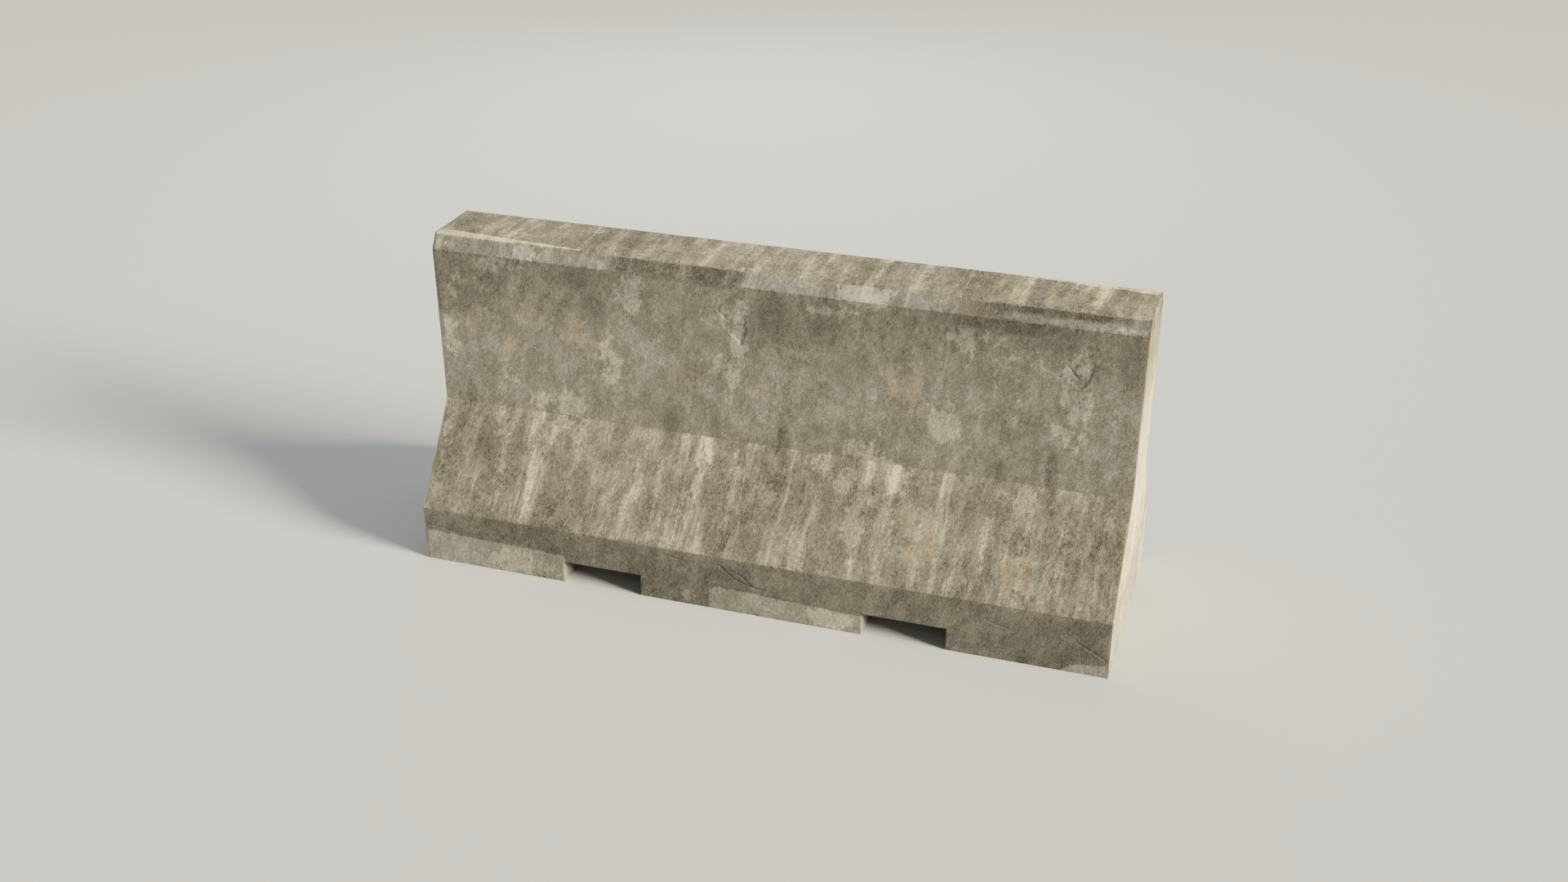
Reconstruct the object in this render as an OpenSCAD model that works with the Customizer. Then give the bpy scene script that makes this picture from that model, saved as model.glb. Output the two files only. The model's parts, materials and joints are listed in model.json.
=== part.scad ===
// Precast concrete jersey barrier with plain butt ends and two fork slots.
// Frame: X along the barrier, Y across it (the front face is at -Y), +Z up.
// The origin is the centre of the footprint, on the ground. All sizes are in millimetres.

/* [Casting] */
// Length of the casting
length = 1728; // [1600:2:2000]
// Height of the top face above the ground
height = 810; // [780:1:880]
// Width of the base
base_w = 544; // [530:2:600]
// Width of the stem between its two upright faces
stem_w = 210; // [200:2:240]
// Width of the flat top
top_w = 166; // [150:2:180]
// Height of the upright toe
toe_h = 144; // [140:1:170]
// Height of the waist, where the slope meets the stem
waist_h = 374; // [360:1:400]
// Height of the bevel along each top edge
bevel_h = 37; // [25:1:45]

/* [Fork slots] */
// Width of each fork slot
slot_w = 202; // [180:2:220]
// Height of each fork slot
slot_h = 56; // [50:1:58]
// Distance between the middles of the two slots
slot_spacing = 763; // [740:1:780]

/* [Reinforcement] */
// Concrete cover over the outermost steel
cover = 45; // [40:1:48]
// Diameter of the bent ties
tie_d = 12; // [10:1:12]
// Diameter of the long bars
bar_d = 16; // [14:1:16]
// Diameter of the short bars in the feet
foot_bar_d = 12; // [10:1:12]
// Centreline radius of the bends
bend_r = 30; // [26:1:30]
// Diameter of the annealed tying wire
wire_d = 1.6; // [1.4:0.1:1.8]

/* [Spacers] */
// Width of a wheel spacer along its bar
wheel_w = 12; // [8:1:14]
// Side of a mortar block spacer
block_side = 40; // [36:1:44]

/* [Hidden] */
FRONT = -1;
REAR = 1;
SIDES = [FRONT, REAR];
FINE = 48;                    // facets of a round bar
gap = 1;                      // cement paste between bars that cross
skin = 1;                     // cement paste between a spacer and the mould
over = 1;                     // how far a cutting tool runs past what it cuts
rib_t = 3;                    // a rolled rib stands at each end of every bend
rib_h = 0.6;

// Half section, with the upright toe, the slope, the stem and the bevel.
half_base = base_w / 2;
half_stem = stem_w / 2;
slope_run = half_base - half_stem;
slope_rise = waist_h - toe_h;
slope_len = norm([slope_run, slope_rise]);
slope_down = [slope_run, -slope_rise] / slope_len;
slope_out = [slope_rise, slope_run] / slope_len;

// Where the slope, moved inwards by d, meets the upright line y.
function slope_z(y, d) =
    let (p = [half_stem, waist_h] - d * slope_out)
    p[1] + (y - p[0]) * slope_down[1] / slope_down[0];

tie_inset = cover + tie_d / 2;                     // centreline of a bent tie below the concrete's face
stem_leg_y = half_stem - tie_inset;
toe_leg_y = half_base - tie_inset;
crown_z = height - tie_inset;
slope_mid = [half_stem, waist_h] - tie_inset * slope_out + slope_len / 2 * slope_down;
bar_inset = tie_inset + tie_d / 2 + gap + bar_d / 2;   // centreline of a long bar inside the ties
foot_z = tie_inset;
slot_bar_z = slot_h + tie_inset;
base_bar_z = slot_bar_z + tie_d / 2 + gap + bar_d / 2;
foot_bar_z = foot_z + tie_d / 2 + gap + foot_bar_d / 2;
hairpin_foot_z = cover + 20;
lap = tie_d + gap;                                 // a base tie lies beside its hairpin
lap_z = 92;
rib_gap = 0.2;

// Stations of the hairpins along the barrier: one each side of every slot, and none over a slot.
end_station = length / 2 - tie_inset;
outer_wall_station = slot_spacing / 2 + slot_w / 2 + tie_inset;
inner_wall_station = slot_spacing / 2 - slot_w / 2 - tie_inset;
middle_station = (end_station + outer_wall_station) / 2;
half_stations = [inner_wall_station, outer_wall_station, middle_station, end_station];
half_laps = [-lap, lap, lap, -lap];                // each base tie keeps clear of the slots and the ends
stations = concat([for (i = [3:-1:0]) -half_stations[i]], [0], half_stations);
laps = concat([for (i = [3:-1:0]) -half_laps[i]], [lap], half_laps);
STATION_COUNT = len(stations);
wheel_stations = [2, 5, 8];
slot_bar_offset = 45;
slot_bar_x = [for (s = SIDES, o = SIDES) s * slot_spacing / 2 + o * slot_bar_offset];

// Long bars: name and place of each in the section, as [distance from the middle, height].
nest_r = bend_r - tie_d / 2 - gap - bar_d / 2;     // a top bar sits in the bend of the crown
top_bar_yz = [stem_leg_y - bend_r, crown_z - bend_r] + nest_r * [cos(45), sin(45)];
stem_bar_yz = [half_stem - bar_inset, (waist_h + height) / 2 - 30];
waist_bar_yz = [half_stem - bar_inset, waist_h + 10];
toe_bar_yz = [half_base - bar_inset, base_bar_z];
base_bar_yz = [75, base_bar_z];
LONG_BARS = [["top_bar", top_bar_yz], ["stem_bar", stem_bar_yz], ["waist_bar", waist_bar_yz],
             ["toe_bar", toe_bar_yz], ["base_bar", base_bar_yz]];
SIDE_NAMES = ["front", "rear"];
function side_of(name) = name == "front" ? FRONT : REAR;

// Feet: name and the span of each along the barrier.
slot_in = slot_spacing / 2 - slot_w / 2;
slot_out = slot_spacing / 2 + slot_w / 2;
FEET = [["left", -length / 2, -slot_out], ["middle", -slot_in, slot_in], ["right", slot_out, length / 2]];
foot_bar_y = 150;
block_y = 180;
block_stations = [1, 3, 4, 6, 7, 9];

// ---- Shapes that repeat ----

// Stands a flat shape drawn as (across, up) in the section of the barrier at place x.
module in_section(x) {
    translate([x, 0, 0])
        rotate([90, 0, 90])
            children();
}

function heading(v) = atan2(v[1], v[0]);
function unit(v) = v / norm(v);

// Signed turn in degrees from direction a to direction b.
function turn(a, b) = atan2(a[0] * b[1] - a[1] * b[0], a * b);

// Length that a bend of radius r takes from each leg at corner i of a path.
function trim(path, i, r) =
    i == 0 || i == len(path) - 1
        ? 0
        : r * tan(abs(turn(path[i] - path[i - 1], path[i + 1] - path[i])) / 2);

// A round bar of diameter d, bent along a flat path with radius r at each corner.
// A rib joins each straight length to the bend next to it.
module bent_bar(path, d, r) {
    last = len(path) - 1;
    for (i = [0:last - 1]) {
        dir = unit(path[i + 1] - path[i]);
        from = trim(path, i, r) + (i > 0 ? rib_gap : 0);
        to = norm(path[i + 1] - path[i]) - trim(path, i + 1, r) - (i + 1 < last ? rib_gap : 0);
        translate([path[i][0], path[i][1], 0])
            rotate([0, 90, heading(dir)]) {
                translate([0, 0, from])
                    cylinder(d = d, h = to - from, $fn = FINE);
                if (i > 0)
                    translate([0, 0, from - rib_gap - rib_t / 2])
                        cylinder(r = d / 2 + rib_h, h = rib_t, $fn = FINE);
                if (i + 1 < last)
                    translate([0, 0, to + rib_gap - rib_t / 2])
                        cylinder(r = d / 2 + rib_h, h = rib_t, $fn = FINE);
            }
    }
    for (i = [1:last - 1]) {
        a = unit(path[i] - path[i - 1]);
        bend = turn(a, path[i + 1] - path[i]);
        side = sign(bend);
        centre = path[i] - a * trim(path, i, r) + side * r * [-a[1], a[0]];
        translate([centre[0], centre[1], 0])
            rotate([0, 0, heading(a) - side * 90 + min(bend, 0)])
                rotate_extrude(angle = abs(bend), $fn = 2 * FINE)
                    translate([r, 0])
                        circle(d = d, $fn = FINE);
    }
}

// A straight round bar along the barrier.
module long_bar(x0, x1, yz, d) {
    translate([x0, yz[0], yz[1]])
        rotate([0, 90, 0])
            cylinder(d = d, h = x1 - x0, $fn = FINE);
}

// A loop of tying wire round two crossing bars, with its twisted tail.
// The loop stands at 45 degrees to both bars; out is the direction, in the section, from the inner bar to the outer one.
module wire_loop(x, yz, out, inner_d, outer_d) {
    reach = (inner_d + gap + outer_d) / 2;
    loop_r = reach + wire_d / 2 + 0.4;
    middle = yz + unit(out) * (outer_d + gap) / 2;
    tail = 14;
    in_section(x)
        translate([middle[0], middle[1], 0])
            rotate([0, 0, heading(out)])
                rotate([45, 0, 0]) {
                    rotate_extrude($fn = FINE)
                        translate([loop_r, 0])
                            circle(d = wire_d, $fn = 6);
                    translate([-loop_r - tail, 0, 0])
                        rotate([0, 90, 0])
                            cylinder(d = 2 * wire_d, h = tail, $fn = 6);
                }
}

// ---- Reinforcement ----

// The upper tie: over the crown, down the stem, out along the slope and down into the toe.
function hairpin_half(side) = [
    [side * stem_leg_y, crown_z],
    [side * stem_leg_y, slope_z(stem_leg_y, tie_inset)],
    [side * toe_leg_y, slope_z(toe_leg_y, tie_inset)],
    [side * toe_leg_y, hairpin_foot_z]
];
hairpin_path = concat([for (i = [3:-1:0]) hairpin_half(FRONT)[i]], hairpin_half(REAR));

module hairpin(x) {
    color("sienna")
        in_section(x)
            bent_bar(hairpin_path, tie_d, bend_r);
}

// The lower tie: a flat bar across a foot with upturned ends that lap the hairpin.
base_tie_top = lap_z + 10;
base_tie_path = [
    [-toe_leg_y, base_tie_top],
    [-toe_leg_y, foot_z],
    [toe_leg_y, foot_z],
    [toe_leg_y, base_tie_top]
];

module base_tie(x) {
    color("sienna")
        in_section(x)
            bent_bar(base_tie_path, tie_d, bend_r);
}

// Straight cross bar in the ceiling of a fork slot, where the forks bear.
module slot_bar(x) {
    color("sienna")
        translate([x, -toe_leg_y - tie_d / 2, slot_bar_z])
            rotate([-90, 0, 0])
                cylinder(d = tie_d, h = 2 * toe_leg_y + tie_d, $fn = FINE);
}

module full_length_bar(side, yz) {
    color("saddlebrown")
        long_bar(-length / 2 + cover, length / 2 - cover, [side * yz[0], yz[1]], bar_d);
}

// Two short bars that lie on the base ties of one foot.
module foot_bars(foot) {
    color("saddlebrown")
        for (side = SIDES)
            long_bar(foot[1] + cover, foot[2] - cover, [side * foot_bar_y, foot_bar_z], foot_bar_d);
}

// ---- Spacers ----

// Spoked plastic wheel that clips on a hairpin leg and rolls against the mould.
module wheel_spacer() {
    rim_r = tie_inset - skin;
    rim_t = 5;
    hub_r = tie_d / 2 + 4;
    spoke_t = 3;
    linear_extrude(height = wheel_w, center = true) {
        difference() {
            circle(r = rim_r, $fn = 2 * FINE);
            circle(r = rim_r - rim_t, $fn = 2 * FINE);
        }
        difference() {
            union() {
                circle(r = hub_r, $fn = FINE);
                for (a = [0:60:300])
                    rotate(a)
                        translate([hub_r - 1, -spoke_t / 2])
                            square([rim_r - rim_t - hub_r + 2, spoke_t]);
            }
            circle(r = tie_d / 2 + gap / 2, $fn = FINE);
        }
    }
}

wheel_stem_z = (stem_bar_yz[1] + top_bar_yz[1]) / 2;

module wheel_spacers(side) {
    color("dimgray")
        for (i = wheel_stations) {
            translate([stations[i - 1], side * stem_leg_y, wheel_stem_z])
                wheel_spacer();
            translate([stations[i - 1], side * slope_mid[0], slope_mid[1]])
                rotate([-side * atan2(slope_down[0], -slope_down[1]), 0, 0])
                    wheel_spacer();
        }
}

// Mortar block under a base tie, with a saddle for the bar.
module block_spacer(x, side) {
    difference() {
        translate([x - block_side / 2, side * block_y - block_side / 2, skin])
            cube([block_side, block_side, foot_z - skin]);
        translate([x, side * block_y - block_side / 2 - over, foot_z])
            rotate([-90, 0, 0])
                cylinder(d = tie_d + 2 * gap, h = block_side + 2 * over, $fn = FINE);
    }
}

module block_spacers(foot) {
    color("gray")
        for (i = block_stations, side = SIDES)
            if (stations[i - 1] > foot[1] && stations[i - 1] < foot[2])
                block_spacer(stations[i - 1] + laps[i - 1], side);
}

// ---- Tying wire ----

// A level loop that binds the end of a base tie to the toe leg of its hairpin.
module lap_loop(x, side) {
    translate([x, side * toe_leg_y, lap_z])
        rotate_extrude($fn = FINE)
            translate([(lap + tie_d + wire_d) / 2 + 0.4, 0])
                circle(d = wire_d, $fn = 6);
}

// Loops at one station, where the bars cross the hairpin and its base tie.
module tie_wires(x, shift) {
    color("darkslategray")
        for (side = SIDES) {
            wire_loop(x, [side * top_bar_yz[0], top_bar_yz[1]], [side, 1], bar_d, tie_d);
            for (yz = [stem_bar_yz, waist_bar_yz, toe_bar_yz])
                wire_loop(x, [side * yz[0], yz[1]], [side, 0], bar_d, tie_d);
            wire_loop(x + shift, [side * foot_bar_y, foot_bar_z], [0, -1], foot_bar_d, tie_d);
            lap_loop(x + shift / 2, side);
        }
}

// Loops where the base bars lie on the slot bars.
module slot_tie_wires() {
    color("darkslategray")
        for (x = slot_bar_x, side = SIDES)
            wire_loop(x, [side * base_bar_yz[0], base_bar_yz[1]], [0, -1], bar_d, tie_d);
}

// ---- Casting ----

section = [
    [half_base, 0], [half_base, toe_h], [half_stem, waist_h], [half_stem, height - bevel_h], [top_w / 2, height],
    [-top_w / 2, height], [-half_stem, height - bevel_h], [-half_stem, waist_h], [-half_base, toe_h], [-half_base, 0]
];

module fork_slot(x) {
    translate([x - slot_w / 2, -half_base - over, -over])
        cube([slot_w, base_w + 2 * over, slot_h + over]);
}

// Everything that the concrete is poured round.
module embedded() {
    for (i = [0:STATION_COUNT - 1]) {
        hairpin(stations[i]);
        base_tie(stations[i] + laps[i]);
        tie_wires(stations[i], laps[i]);
    }
    for (x = slot_bar_x)
        slot_bar(x);
    slot_tie_wires();
    for (b = LONG_BARS, side = SIDES)
        full_length_bar(side, b[1]);
    for (foot = FEET) {
        foot_bars(foot);
        block_spacers(foot);
    }
    for (side = SIDES)
        wheel_spacers(side);
}

module concrete_casting() {
    color([0.60, 0.57, 0.48])
        difference() {
            translate([-length / 2, 0, 0])
                rotate([90, 0, 90])
                    linear_extrude(height = length)
                        polygon(section);
            for (side = SIDES)
                fork_slot(side * slot_spacing / 2);
            embedded();
        }
}

// ---- Nodes ----

concrete_casting();
for (i = [1:STATION_COUNT]) {
    hairpin(stations[i - 1]);
    base_tie(stations[i - 1] + laps[i - 1]);
    tie_wires(stations[i - 1], laps[i - 1]);
}
for (i = [1:len(slot_bar_x)])
    slot_bar(slot_bar_x[i - 1]);
for (b = LONG_BARS, s = SIDE_NAMES)
    full_length_bar(side_of(s), b[1]);
for (f = FEET) {
    foot_bars(f);
    block_spacers(f);
}
for (s = SIDE_NAMES)
    wheel_spacers(side_of(s));
slot_tie_wires();
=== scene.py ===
import json
import math
import random

import bmesh
import bpy
import numpy as np
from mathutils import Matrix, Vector

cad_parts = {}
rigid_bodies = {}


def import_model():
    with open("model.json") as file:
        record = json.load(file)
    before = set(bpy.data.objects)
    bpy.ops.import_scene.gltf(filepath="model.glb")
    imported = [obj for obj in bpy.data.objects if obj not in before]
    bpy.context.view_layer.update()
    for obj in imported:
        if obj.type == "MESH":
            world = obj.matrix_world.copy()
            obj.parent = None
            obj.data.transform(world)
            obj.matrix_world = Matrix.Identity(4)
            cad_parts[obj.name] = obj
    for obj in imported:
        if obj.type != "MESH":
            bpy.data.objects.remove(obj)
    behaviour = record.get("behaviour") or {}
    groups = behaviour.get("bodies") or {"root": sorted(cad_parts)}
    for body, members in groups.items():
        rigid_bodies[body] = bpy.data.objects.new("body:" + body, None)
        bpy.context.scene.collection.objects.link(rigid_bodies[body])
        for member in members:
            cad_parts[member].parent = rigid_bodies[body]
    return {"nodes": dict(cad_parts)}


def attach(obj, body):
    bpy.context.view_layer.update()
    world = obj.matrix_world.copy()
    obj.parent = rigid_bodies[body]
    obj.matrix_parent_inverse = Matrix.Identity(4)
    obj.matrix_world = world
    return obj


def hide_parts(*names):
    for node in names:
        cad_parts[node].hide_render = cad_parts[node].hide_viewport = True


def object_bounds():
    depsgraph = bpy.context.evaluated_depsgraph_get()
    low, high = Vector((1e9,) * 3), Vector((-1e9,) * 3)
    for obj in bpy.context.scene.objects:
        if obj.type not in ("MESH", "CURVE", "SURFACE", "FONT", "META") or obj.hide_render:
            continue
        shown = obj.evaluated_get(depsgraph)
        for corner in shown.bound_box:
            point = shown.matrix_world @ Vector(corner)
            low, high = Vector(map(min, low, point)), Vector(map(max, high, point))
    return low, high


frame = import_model()
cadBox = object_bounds()
print("frame loaded, CAD box", [[round(v, 4) for v in corner] for corner in cadBox])


def hexColour(code):  # an sRGB hex value, as the linear colour that a socket takes
    channels = [int(code[i:i + 2], 16) / 255 for i in (1, 3, 5)]
    return (*[c / 12.92 if c <= 0.04045 else ((c + 0.055) / 1.055) ** 2.4 for c in channels], 1.0)


def perMetre(millimetres):  # texture scale of a pattern of that size
    return 1000 / millimetres


def addNode(tree, kind, settings=None, links=None, output=0):  # returns the output that is asked for
    node = tree.nodes.new("ShaderNode" + kind)
    for key, value in (settings or {}).items():
        if isinstance(key, int) or key in node.inputs:
            node.inputs[key].default_value = value
        else:
            setattr(node, key, value)
    for socket, source in (links or {}).items():
        tree.links.new(source, node.inputs[socket])
    return node.outputs[output] if node.outputs else node


def newMaterial(name):
    material = bpy.data.materials.new(name)
    material.use_nodes = True
    material.node_tree.nodes.clear()
    return material


def deselectAll():
    if bpy.context.object and bpy.context.object.mode != "OBJECT":
        bpy.ops.object.mode_set(mode="OBJECT")
    bpy.ops.object.select_all(action="DESELECT")


def pickOnly(obj):
    deselectAll()
    obj.select_set(True)
    bpy.context.view_layer.objects.active = obj


def selectParts(obj, kind, test):  # kind is "EDGE" or "FACE"; obj is in edit mode
    bpy.ops.mesh.select_mode(type=kind)
    bpy.ops.mesh.select_all(action="DESELECT")
    mesh = bmesh.from_edit_mesh(obj.data)
    for part in mesh.edges if kind == "EDGE" else mesh.faces:
        if test(part):
            part.select_set(True)
    bmesh.update_edit_mesh(obj.data)


def span(edge, axis):  # lowest and highest value of an edge along one axis
    a, b = (v.co[axis] for v in edge.verts)
    return min(a, b), max(a, b)


def near(a, b):  # within a tenth of a millimetre
    return abs(a - b) < 1e-4


# The concrete casting: the toe is a block, and the slope, stem and bevel are drawn up from it.
casting = {
    "toeHeight": 0.144, "waistHeight": 0.374, "bevelHeight": 0.037,
    "stemWidth": 0.210, "topWidth": 0.166,
    "slotWidth": 0.202, "slotHeight": 0.056, "slotSpacing": 0.763,
    "cell": 0.009,           # spacing of the skin's grid
    "crossCuts": 24,         # cuts across the width
    "arris": 0.002,          # the mould leaves a small round
    "arrisAngle": 20,        # on corners that turn more than this many degrees
    "smoothAngle": 32,       # and shading is smooth up to this many
}
length = cadBox[1].x - cadBox[0].x
baseWidth = cadBox[1].y - cadBox[0].y
height = cadBox[1].z - cadBox[0].z
stemTop = height - casting["bevelHeight"]
slotIn = (casting["slotSpacing"] - casting["slotWidth"]) / 2
slotOut = (casting["slotSpacing"] + casting["slotWidth"]) / 2
xLines = [-length / 2, -slotOut, -slotIn, slotIn, slotOut, length / 2]
profile = [(baseWidth / 2, 0), (baseWidth / 2, casting["slotHeight"]), (baseWidth / 2, casting["toeHeight"]),
           (casting["stemWidth"] / 2, casting["waistHeight"]), (casting["stemWidth"] / 2, stemTop),
           (casting["topWidth"] / 2, height)]


def drawUp(obj, fromZ, rise, narrow):
    selectParts(obj, "FACE", lambda f: near(f.calc_center_median().z, fromZ) and f.normal.z > 0.9)
    bpy.ops.mesh.extrude_region_move(TRANSFORM_OT_translate={"value": (0, 0, rise)})
    bpy.ops.transform.resize(value=(1, narrow, 1), center_override=(0, 0, fromZ + rise))


def makeCasting():
    deselectAll()
    bpy.ops.mesh.primitive_cube_add(size=1, location=(0, 0, casting["toeHeight"] / 2),
                                    scale=(length, baseWidth, casting["toeHeight"]))
    obj = bpy.context.object
    obj.name = "CastConcreteBarrier"
    bpy.ops.object.transform_apply(location=True, rotation=True, scale=True)
    bpy.ops.object.mode_set(mode="EDIT")
    drawUp(obj, casting["toeHeight"], casting["waistHeight"] - casting["toeHeight"],
           casting["stemWidth"] / baseWidth)
    drawUp(obj, casting["waistHeight"], stemTop - casting["waistHeight"], 1)
    drawUp(obj, stemTop, casting["bevelHeight"], casting["topWidth"] / casting["stemWidth"])

    # fork slots: cut lines, open the skin, then bridge front to rear
    for x in xLines[1:-1]:
        bpy.ops.mesh.select_all(action="SELECT")
        bpy.ops.mesh.bisect(plane_co=(x, 0, 0), plane_no=(1, 0, 0))
    bpy.ops.mesh.select_all(action="SELECT")
    bpy.ops.mesh.bisect(plane_co=(0, 0, casting["slotHeight"]), plane_no=(0, 0, 1))
    for side in (-1, 1):
        x0, x1 = sorted((side * slotIn, side * slotOut))
        selectParts(obj, "FACE", lambda f: x0 < f.calc_center_median().x < x1
                    and f.calc_center_median().z < casting["slotHeight"] and abs(f.normal.x) < 0.5)
        bpy.ops.mesh.delete(type="ONLY_FACE")
        selectParts(obj, "EDGE", lambda e: len(e.link_faces) < 2 and near(*span(e, 1))
                    and not near(span(e, 2)[1], 0))
        bpy.ops.mesh.bridge_edge_loops()
    selectParts(obj, "EDGE", lambda e: not e.link_faces)
    bpy.ops.mesh.delete(type="EDGE")

    # an even grid over the skin
    for x0, x1 in zip(xLines, xLines[1:]):
        selectParts(obj, "EDGE", lambda e: near(span(e, 0)[0], x0) and near(span(e, 0)[1], x1))
        bpy.ops.mesh.subdivide(number_cuts=round((x1 - x0) / casting["cell"]) - 1)
    for (y0, z0), (y1, z1) in zip(profile, profile[1:]):
        selectParts(obj, "EDGE", lambda e: near(span(e, 2)[0], z0) and near(span(e, 2)[1], z1))
        bpy.ops.mesh.subdivide(number_cuts=round(math.dist((y0, z0), (y1, z1)) / casting["cell"]) - 1)
    selectParts(obj, "EDGE", lambda e: near(*span(e, 0)) and near(*span(e, 2)))
    bpy.ops.mesh.subdivide(number_cuts=casting["crossCuts"])

    # the signed angle is over nought at the convex corners only
    selectParts(obj, "EDGE", lambda e: len(e.link_faces) == 2
                and e.calc_face_angle_signed() > math.radians(casting["arrisAngle"]))
    bpy.ops.mesh.bevel(offset=casting["arris"], segments=2, affect="EDGES")
    bpy.ops.mesh.select_all(action="SELECT")
    bpy.ops.mesh.normals_make_consistent(inside=False)
    bpy.ops.object.mode_set(mode="OBJECT")
    return obj


body = makeCasting()
print("casting drawn up,", len(body.data.polygons), "faces")


# Wear on the casting: waves from the mould, rubbed arrises, fine roughness.
wear = {
    # name, size in metres, detail, height in metres, and the level that stays in place
    "wave": ("mouldWave", 0.22, 1, 0.0012, 0.8),
    "rub": ("arrisWear", 0.035, 3, 0.0024, 0.85),
    "grain": ("skinGrain", 0.012, 2, 0.0007, 0.8),
    "rubReach": 0.006,       # rubbing stops this far from a corner
    "flatFoot": 0.004,       # and the feet stay flat on the ground up to here
}


def vertexPlaces(obj):
    places = np.empty(len(obj.data.vertices) * 3)
    obj.data.vertices.foreach_get("co", places)
    return places.reshape(-1, 3)


def fillGroup(obj, name, weights, grades=20):
    group = obj.vertex_groups.new(name=name)
    for grade in range(1, grades + 1):
        chosen = np.nonzero(np.round(weights * grades) == grade)[0].tolist()
        if chosen:
            group.add(chosen, grade / grades, "REPLACE")


def displace(obj, name, size, detail, strength, level, group):  # out and in along the skin's normal
    texture = bpy.data.textures.new(name, "CLOUDS")
    texture.noise_scale = size
    texture.noise_depth = detail
    texture.noise_basis = "IMPROVED_PERLIN"
    modifier = obj.modifiers.new(name, "DISPLACE")
    modifier.texture = texture
    modifier.texture_coords = "LOCAL"
    modifier.strength = strength
    modifier.mid_level = level
    modifier.vertex_group = group
    bpy.ops.object.modifier_apply(modifier=modifier.name)


def wearCasting(obj):
    pickOnly(obj)
    x, y, z = vertexPlaces(obj).T
    offGround = (z > wear["flatFoot"]).astype(float)
    halfWidth = np.interp(z, [p[1] for p in profile], [p[0] for p in profile])
    fromEnd = length / 2 - np.abs(x)
    fromFace = halfWidth - np.abs(y)
    reach = wear["rubReach"]
    onCorner = np.zeros(len(x))
    for cornerY, cornerZ in profile[2:]:
        if near(cornerZ, casting["waistHeight"]):  # an inside corner, which nothing rubs
            continue
        gap = np.hypot(np.abs(y) - cornerY, z - cornerZ)
        onCorner = np.maximum(onCorner, np.clip(1 - gap / reach, 0, 1))
    endCorner = np.clip(1 - np.hypot(fromEnd, np.minimum(fromFace, height - z)) / reach, 0, 1)
    onCorner = np.maximum(onCorner, endCorner)
    fillGroup(obj, "offGround", offGround)
    fillGroup(obj, "arris", onCorner * offGround)
    displace(obj, *wear["wave"], "offGround")
    displace(obj, *wear["rub"], "arris")
    displace(obj, *wear["grain"], "offGround")
    places = np.clip(vertexPlaces(obj), np.array(cadBox[0]), np.array(cadBox[1]))  # wear only takes away
    obj.data.vertices.foreach_set("co", places.ravel())
    obj.data.update()


wearCasting(body)
print("casting worn")

# Damage. Places are in millimetres: x along the barrier, z above the ground.
damage = {
    "seed": 11,
    "chips": 34,                    # knocks along the arrises
    "chipLength": (8, 24), "chipDepth": (1.6, 3.6), "chipUneven": (0.82, 1.12),
    # the arrises, from the middle and above the ground
    "arrises": {"top": (83, 810), "shoulder": (105, 773), "toe": (272, 144)},
    "along": 840,                   # the arrises are knocked this far either way from the middle
    "foot": (670, 170, 2),          # the outer feet's middle, how far either way, and how high
    "upSlot": (8, 50), "upEnd": (30, 780), "endPlane": 864,
    "airHoles": 60, "airHoleRadius": (1.0, 2.0), "airHoleAlong": 850, "airHoleUp": (20, 760),
    "clearOfSlot": (64, 10, 70),    # below this height and this near a slot, an air hole goes up by this much
    "flakeDepth": 1.8, "flakeEdge": 4.0,
    "flakeMargin": 12, "crackMargin": 7, "fineCuts": 4,  # the grid is cut finer this far round them
    "crackEnds": (14, 0.15),        # a crack closes over this stretch at each end, down to this share
    "frontFace": 95,                # the front skin is all farther than this from the middle
    "flakes": [
        [(-176, 690), (-160, 672), (-136, 664), (-109, 664), (-94, 648), (-70, 622), (-56, 660), (-60, 706),
         (-86, 738), (-130, 748), (-166, 726)],
        [(626, 690), (636, 668), (668, 656), (690, 652), (706, 640), (722, 626), (742, 644), (754, 690),
         (738, 716), (690, 728), (646, 716)],
    ],
    # depth, half width, then the line's points
    "cracks": [
        (2.2, 2.0, [(-132, 713), (-114, 698), (-98, 679)]),
        (2.2, 2.0, [(686, 686), (702, 671), (719, 652)]),
        (1.8, 1.8, [(-226, 130), (-164, 119), (-110, 122), (-74, 124), (-52, 106), (-34, 90), (-8, 82),
                    (38, 74)]),
        (1.4, 1.6, [(-60, 118), (-20, 104), (20, 70)]),
        (1.5, 1.6, [(-864, 99), (-820, 97), (-764, 86)]),
        (1.5, 1.6, [(574, 99), (606, 92), (638, 88)]),
        (1.5, 1.6, [(784, 84), (830, 60), (862, 42)]),
    ],
}
dice = random.Random(damage["seed"])


def faceY(z):  # how far the face stands from the middle at height z, in millimetres
    return float(np.interp(z, [1000 * p[1] for p in profile], [1000 * p[0] for p in profile]))


def fromLine(x, z, points):  # distance to the nearest stretch of a line
    nearest = np.full(len(x), 1e9)
    for (x0, z0), (x1, z1) in zip(points, points[1:]):
        acrossX, upZ = x1 - x0, z1 - z0
        along = np.clip(((x - x0) * acrossX + (z - z0) * upZ) / (acrossX ** 2 + upZ ** 2), 0, 1)
        nearest = np.minimum(nearest, np.hypot(x - x0 - along * acrossX, z - z0 - along * upZ))
    return nearest


def insideOutline(x, z, points):
    inside = np.zeros(len(x), bool)
    for (x0, z0), (x1, z1) in zip(points, points[1:] + points[:1]):
        if z0 != z1:
            inside ^= ((z0 > z) != (z1 > z)) & (x < (x1 - x0) * (z - z0) / (z1 - z0) + x0)
    return inside


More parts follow.
